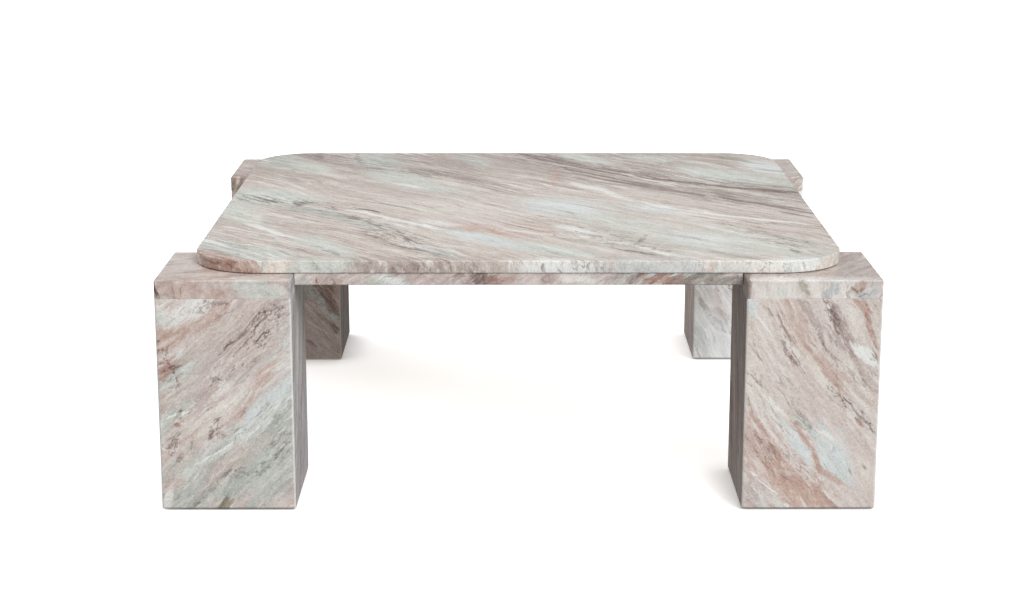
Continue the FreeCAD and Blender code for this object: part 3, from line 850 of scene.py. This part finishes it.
# Edge strips
# A strip of the same marble is bonded under each side of the slab, between the legs.
# It sits a little behind the slab's edge and makes the edge look twice as thick.
STRIP_SEED = 101
STRIP_SEED_STEP = 5
STRIP_STROKES = [
    (0, 50, 100, 50, 10, MAUVE, 40), (0, 60, 4, 40, 2, SAGE, 75), (3, 80, 8, 20, 3, ROSE, 70),
    (5.5, 90, 6, 10, 0.4, UMBER, 70), (8, 80, 12, 20, 3, MAUVE, 60), (9, 90, 10, 10, 0.5, DEEP_MAUVE, 80),
    (12.5, 60, 16, 40, 3, ROSE, 60), (16, 60, 26.5, 40, 3, MINT, 85), (19, 70, 25, 40, 1.5, CHALK, 60),
    (27, 60, 36, 40, 3, ROSE, 60), (30, 80, 32, 20, 0.8, MAUVE, 70), (36, 60, 41, 40, 3, MAUVE, 80),
    (40, 70, 46, 30, 3, DEEP_MAUVE, 95), (42, 90, 43, 10, 0.6, UMBER, 70), (43, 50, 50, 45, 2.5, RUST, 40),
    (50, 70, 55, 30, 3, BLUSH, 80), (55, 90, 56, 10, 0.5, UMBER, 70), (55, 60, 59, 40, 3, MAUVE, 75),
    (59, 60, 70, 40, 3, BLUSH, 75), (60, 60, 67, 40, 1.5, CHALK, 60), (73, 60, 80, 40, 3, DEEP_MAUVE, 60),
    (78, 60, 88, 40, 3, DEEP_MAUVE, 85), (78, 50, 88, 45, 2.5, RUST, 55), (78.5, 90, 79, 10, 0.5, RUST, 70),
    (87, 60, 100, 40, 3, LICHEN, 70), (88, 60, 100, 40, 3, DEEP_TAUPE, 45),
    (92.5, 60, 93.5, 50, 0.8, SLATE, 80),
]
strip_flows = {"front": 35, "right": 50, "rear": -40, "left": 60}
for facing, quarter in quarter_turns.items():
    node = facing + "_edge_strip"
    low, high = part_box(node)
    middle = (low + high) / 2
    length = max(high.x - low.x, high.y - low.y)
    strokes = on_face(length, high.z - low.z, mirrored(STRIP_STROKES, quarter % 2, quarter // 2))
    drawing = (middle, upright(quarter), DRAWING_DEPTH, strokes)
    seed = STRIP_SEED + STRIP_SEED_STEP * quarter
    flow = strip_flows[facing]
    dress(node, marble_finish(node + "_marble", middle, upright(quarter), flow, seed, [drawing]))

# Top slab
# One square slab of polished marble with large rounded corners, its edges eased and polished.
# It lies on the caps by its own weight, held in place by the pins.
SLAB_CORNER = 0.11
SLAB_TOP_ARRIS = 0.0025
SLAB_LOW_ARRIS = 0.0015
SLAB_RIM = 0.002
SLAB_CORNER_STEPS = 32
SLAB_SEED = 3
SLAB_FLOW = -46
SLAB_CONTRAST = 1.1
SLAB_STRETCH = 2.2
FRONT_EDGE_DEPTH = 0.03
TOP_STROKES = [
    (-10, 88, 110, 88, 40, TAUPE, 70), (-10, 30, 110, 30, 80, FAWN, 20),
    (82, 68, 104, 46, 15, DEEP_TAUPE, 35), (0, 38, 14, 18, 13, TAUPE, 40), (60, 22, 85, 2, 15, MINT, 35),
    (-2, 102, 28, 86, 14, TAUPE, 45), (60, 95, 82, 72, 12, TAUPE, 55), (84, 54, 102, 42, 8, TAUPE, 60),
    (28, 97, 42, 78, 8, TAUPE, 65), (19, 98, 29, 84, 7, SAGE, 60), (17, 15, 33, 0, 9, TAUPE, 55),
    (19, 70, 37, 52, 10, TAUPE, 40), (0, 59, 12, 47, 9, SAGE, 50), (29, 50, 46, 33, 9, CREAM, 50),
    (2, 74, 25, 54, 12, FAWN, 55), (22, 62, 50, 34, 18, SAND, 45), (70, 36, 86, 21, 9, SAND, 65),
    (86, 29, 100, 11, 7, FAWN, 60), (42, 100, 56, 74, 10, TAUPE, 45), (44, 80, 60, 60, 10, FAWN, 40),
    (10, 27, 23, 14, 5, FAWN, 65), (21, 17, 34, 0, 9, FAWN, 70), (0, 29, 11, 13, 6, FAWN, 65),
    (58, 14, 69, 3, 5, SAND, 60), (38, 29, 51, 19, 5, TERRACOTTA, 55), (50, 28, 57, 22, 3, TERRACOTTA, 50),
    (7, 100, 13, 91, 3, DEEP_TAUPE, 65), (12, 99, 20, 87, 5, TAUPE, 75), (15, 90, 26, 78, 5, TAUPE, 80),
    (5, 80, 18, 69, 5, TAUPE, 60), (27, 93, 32, 79, 5, TAUPE, 60), (33, 93, 42, 81, 5, TAUPE, 70),
    (36, 80, 46, 67, 6, TAUPE, 55), (80, 98, 94, 81, 5, TAUPE, 75), (76, 91, 86, 81, 4, TAUPE, 65),
    (69, 90, 80, 76, 7, TAUPE, 55), (3, 98, 7, 81, 7, SAGE, 80), (9, 88, 14, 76, 5, MINT, 75),
    (21, 100, 25, 81, 7, SAGE, 85), (39, 100, 44, 84, 4, SAGE, 75), (24, 79, 35, 61, 8, MINT, 80),
    (34, 64, 42, 54, 4, MINT, 55), (59, 100, 68, 87, 4.5, MINT, 95), (73, 96, 80, 90, 5, MINT, 80),
    (81, 83, 93, 71, 8, MINT, 75), (95, 93, 99, 74, 7, ICE, 92), (84, 91, 90, 82, 2.5, SAND, 80),
    (90, 72, 100, 66, 5, MINT, 60), (0, 58, 14, 46, 13, MINT, 80), (0, 46, 7, 29, 6, MINT, 80),
    (10, 45, 21, 35, 4, SAGE, 75), (19, 36, 31, 21, 3.5, SAGE, 75), (53, 50, 64, 35, 10, ICE, 90),
    (60, 37, 73, 23, 7, MINT, 65), (70, 45, 78, 38.5, 4.5, ICE, 90), (72, 23, 97, 4, 13, MINT, 60),
    (75, 19, 83, 14, 6, ICE, 80), (48, 15, 63, 1, 6, MINT, 85), (16, 18, 24, 4, 5, MINT, 85),
    (10, 11, 15, 2, 3.5, MINT, 80), (32, 15, 42, 2, 3, SAGE, 65), (62, 44, 69, 38, 2, FAWN, 60),
    (56, 84, 76, 60, 8, TAUPE, 80), (70, 66, 102, 40, 8, TAUPE, 75), (86, 60, 88.5, 47, 3, DEEP_TAUPE, 55),
    (66, 70, 80, 57, 3, DEEP_TAUPE, 60), (51, 99, 60, 85, 5, DEEP_TAUPE, 50),
    (57, 84, 57, 61, 1.3, TERRACOTTA, 50), (50, 99, 62, 83, 1.2, SEPIA, 60),
    (60, 85, 76, 69, 1.2, SEPIA, 70), (74, 71, 90, 61, 1.4, SEPIA, 85), (55, 96, 66, 80, 0.9, SEPIA, 55),
    (56, 86, 72, 66, 1, SEPIA, 55), (88, 62, 102, 56, 1.8, SEPIA, 85), (64, 83, 80, 71, 0.8, SEPIA, 55),
    (70, 67, 88, 50, 1.2, SEPIA, 60), (86, 52, 102, 35, 1.2, SEPIA, 60),
    (93.5, 39.5, 100, 33, 1, SEPIA, 60), (58, 80, 70, 66, 0.7, SEPIA, 50),
    (88, 48, 102, 39, 0.8, SEPIA, 50), (18.5, 100, 20.7, 86.5, 1, SLATE, 65),
    (66, 100, 72, 93, 1.4, SLATE, 60), (21.5, 82.5, 25, 80, 2.2, SLATE, 60),
    (31, 78.5, 36, 74, 2.2, SLATE, 55), (90, 99, 94.5, 90, 2.5, OLIVE, 45),
    (10, 100, 12, 93, 1.4, UMBER, 50), (6.5, 50, 9, 47.5, 2.2, SLATE, 85),
    (11.8, 47.5, 13.5, 44, 2, SLATE, 95), (13, 48, 15.5, 46.5, 1, SLATE, 60),
    (9, 41, 15, 38.5, 1, SLATE, 40), (21, 37.5, 33.5, 14.5, 0.5, UMBER, 65),
    (22.2, 34.5, 24, 32.5, 1.6, UMBER, 70), (30, 23.5, 34.5, 8.5, 0.6, SLATE, 65),
    (37, 6, 40.5, 1.5, 1.2, SLATE, 65), (22.2, 42.5, 27.5, 37.8, 1, UMBER, 70),
    (19, 10, 23.5, 2, 0.8, SLATE, 55), (25, 49, 34, 39, 0.7, SLATE, 50),
    (70.5, 20.5, 69, 12.5, 0.9, SLATE, 65), (92, 9.5, 93, 6, 0.9, SLATE, 80),
    (58, 20, 62.5, 16.5, 0.8, SLATE, 60), (67, 7.5, 72, 3, 0.8, SLATE, 60),
    (86, 31, 93, 28.5, 1, SLATE, 50), (60, 67, 66.5, 57.5, 2.2, CHALK, 80),
    (65.5, 58, 69, 50, 1.3, CHALK, 80), (68, 52, 73, 46.5, 1, CHALK, 75),
    (71, 48, 79.5, 40, 1.4, CHALK, 80), (78, 41, 86.5, 34.5, 1.5, CHALK, 85),
    (85.5, 35.5, 97.5, 28.5, 1.3, CHALK, 85), (21, 41.5, 28.5, 34.5, 1.1, CHALK, 85),
    (27.5, 35.5, 33.5, 28.5, 1.3, CHALK, 85), (32.5, 29.5, 39, 23, 1.6, CHALK, 95),
    (34, 31.5, 41, 26.5, 3.5, CHALK, 60), (38, 24, 50, 11, 4.5, ICE, 95),
    (46, 25.5, 59, 17.5, 1.1, CREAM, 90), (45, 25, 49.5, 18.5, 1.1, TERRACOTTA, 65),
    (5.5, 28.5, 10.5, 22.5, 1.2, CHALK, 85), (9.5, 23.5, 15, 17, 1.2, CHALK, 85),
    (-1, 18, 5.5, 9.5, 1, CHALK, 80), (57, 27, 64.5, 19, 3, CHALK, 60),
    (58, 20, 66.5, 13.5, 1.2, CHALK, 85), (65.5, 14.5, 72.5, 6.5, 1.4, CHALK, 80),
    (71, 8, 77.5, -1, 1.4, CHALK, 75), (13, 77.5, 19.5, 70.5, 2, CREAM, 75),
    (34.5, 70.5, 39.5, 64.5, 1.6, CREAM, 75), (27.5, 66.5, 33.5, 61.5, 1.3, CHALK, 70),
    (7, 38.5, 6, 31, 1.6, CREAM, 60), (-2, 7, 5, 0, 4.5, RUST, 60), (2, 54, 18, 42, 7, SOOT, 70),
    (19, 42, 36, 8, 5, SOOT, 60), (17, 90, 38, 72, 6, SOOT, 50), (60, 24, 74, 2, 5, SOOT, 50),
    (82, 34, 96, 5, 5, SOOT, 45), (52, 98, 98, 56, 6, SOOT, 50),
]
FRONT_EDGE_STROKES = [
    (0, 50, 100, 50, 10, TAUPE, 45), (0, 60, 12, 40, 3, TERRACOTTA, 55), (0, 70, 5, 40, 3, RUST, 35),
    (12, 70, 17, 20, 3, CREAM, 85), (16.5, 80, 18, 20, 0.6, OLIVE, 55), (16, 60, 25, 40, 3, MINT, 95),
    (25, 50, 40, 50, 3, TAUPE, 70), (27, 60, 31, 40, 2.5, MAUVE, 45), (40, 50, 50, 50, 3, FAWN, 45),
    (36.5, 80, 37, 20, 0.5, SLATE, 60), (42, 80, 43, 20, 0.6, UMBER, 45), (49, 60, 63, 40, 3, CHALK, 85),
    (53.5, 90, 54, 20, 0.5, UMBER, 70), (56, 80, 56.5, 20, 0.5, UMBER, 60), (62, 60, 80, 40, 3, ICE, 75),
    (78, 80, 79, 20, 0.6, SAGE, 70), (79, 60, 100, 40, 3, CHALK, 75), (90, 60, 102, 40, 3, ICE, 70),
    (93.5, 80, 94.5, 20, 0.5, SAGE, 80), (97, 80, 97.5, 20, 0.5, SLATE, 50),
]


def slab_tree():
    """The top slab, lifted to the height where it lies."""
    (height, finish, *sizes), finished = new_tree("top slab", {
        "Height": "Float", "Finish": "Material", "Side": "Float", "Corner radius": "Float",
        "Thickness": "Float", "Top arris": "Float", "Low arris": "Float", "Rim": "Float", "Steps": "Int"})
    plate = height.node("GeometryNodeGroup", {"node_tree": eased_plate}, dict(enumerate(sizes)))
    return finished(laid(plate, height, finish))


slab_low, slab_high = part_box("top_slab")
slab_side = slab_high.x - slab_low.x
slab_thickness = slab_high.z - slab_low.z
slab_top = Vector((0, 0, slab_high.z))
slab_edge = Vector((0, slab_low.y, (slab_low.z + slab_high.z) / 2))
slab_drawings = [
    (slab_top, FLAT, DRAWING_DEPTH, on_face(slab_side, slab_side, TOP_STROKES)),
    (slab_edge, upright(0), FRONT_EDGE_DEPTH, on_face(slab_side, slab_thickness, FRONT_EDGE_STROKES))]
slab_marble = marble_finish("top_slab_marble", slab_top, FLAT, SLAB_FLOW, SLAB_SEED, slab_drawings,
                            bed=TAUPE_BED, contrast=SLAB_CONTRAST, stretch=SLAB_STRETCH)
top_slab = grown("polished_top_slab", slab_tree(), {
    "Side": slab_side, "Corner radius": SLAB_CORNER, "Thickness": slab_thickness, "Rim": SLAB_RIM,
    "Top arris": SLAB_TOP_ARRIS, "Low arris": SLAB_LOW_ARRIS, "Steps": SLAB_CORNER_STEPS,
    "Height": slab_low.z, "Finish": slab_marble})
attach(top_slab, "root")
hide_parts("top_slab")

# Studio
# The table stands on a plain pale floor, in soft white light from all round.
# One broad soft light comes from the front right, and a lower one from the rear left.
FLOOR_PALE = (246, 245, 243)
FLOOR_SIDE = 300.0
FLOOR_ROUGHNESS = 0.7
FLOOR_GLOW = 0.72
CONTACT_SHADOW_REACH = 0.06
CONTACT_SHADOW_SAMPLES = 8
COOL_WHITE = (0.98, 0.99, 1.0)
ROOM_LIGHT = 0.32
KEY_LIGHT = {"strength": 3.15, "spread": 45, "azimuth": 34, "elevation": 42}
BACK_LIGHT = {"strength": 3.0, "spread": 60, "azimuth": 222, "elevation": 13}
half = FLOOR_SIDE / 2
floor_corners = [(-half, -half, 0), (half, -half, 0), (half, half, 0), (-half, half, 0)]
floor_mesh = bpy.data.meshes.new("studio_floor")
floor_mesh.from_pydata(floor_corners, [], [(0, 1, 2, 3)])
floor = bpy.data.objects.new("studio_floor", floor_mesh)
bpy.context.scene.collection.objects.link(floor)
floor_paint, floor_shader, floor_spot = new_finish("pale_floor")
# The floor's glow fades under and beside the legs by ambient occlusion: a painted contact shadow
painted_contact_shadow = floor_spot.node("ShaderNodeAmbientOcclusion", {"samples": CONTACT_SHADOW_SAMPLES},
                          {"Distance": CONTACT_SHADOW_REACH})
feed(floor_shader, Base_Color=tint(FLOOR_PALE), Roughness=FLOOR_ROUGHNESS)
feed(floor_shader, Emission_Color=painted_contact_shadow, Emission_Strength=FLOOR_GLOW)
floor_mesh.materials.append(floor_paint)
floor.visible_diffuse = False
floor.visible_glossy = False

world = bpy.data.worlds.new("soft_room")
world.use_nodes = True
world.node_tree.nodes["Background"].inputs["Color"].default_value = (*COOL_WHITE, 1.0)
world.node_tree.nodes["Background"].inputs["Strength"].default_value = ROOM_LIGHT
bpy.context.scene.world = world


def soft_sun(name, strength, spread, azimuth, elevation):
    """A sun lamp with a broad disc, placed by degrees to the right of the front and above the floor."""
    lamp = bpy.data.lights.new(name, "SUN")
    lamp.energy = strength
    lamp.color = COOL_WHITE
    lamp.angle = math.radians(spread)
    lamp_object = bpy.data.objects.new(name, lamp)
    lamp_object.rotation_euler = (math.radians(90 - elevation), 0, math.radians(azimuth))
    lamp_object.visible_glossy = False
    bpy.context.scene.collection.objects.link(lamp_object)


soft_sun("key_light", **KEY_LIGHT)
soft_sun("back_light", **BACK_LIGHT)

# Camera
# It stands in front of the table, at about the eye height of a seated person.
# From there it looks down on the top through a long lens.
CAMERA_PLACE = (-0.0115, -3.757, 1.107)
CAMERA_PITCH = 0.2365
CAMERA_TURN = -0.002
CAMERA_LENS = 72.87
SENSOR_WIDTH = 36.0
lens = bpy.data.cameras.new("photo_camera")
lens.lens = CAMERA_LENS
lens.sensor_width = SENSOR_WIDTH
camera = bpy.data.objects.new("photo_camera", lens)
camera.location = CAMERA_PLACE
camera.rotation_euler = (math.pi / 2 - CAMERA_PITCH, 0, CAMERA_TURN)
bpy.context.scene.collection.objects.link(camera)
bpy.context.scene.camera = camera
bpy.context.scene.view_settings.view_transform = "Standard"
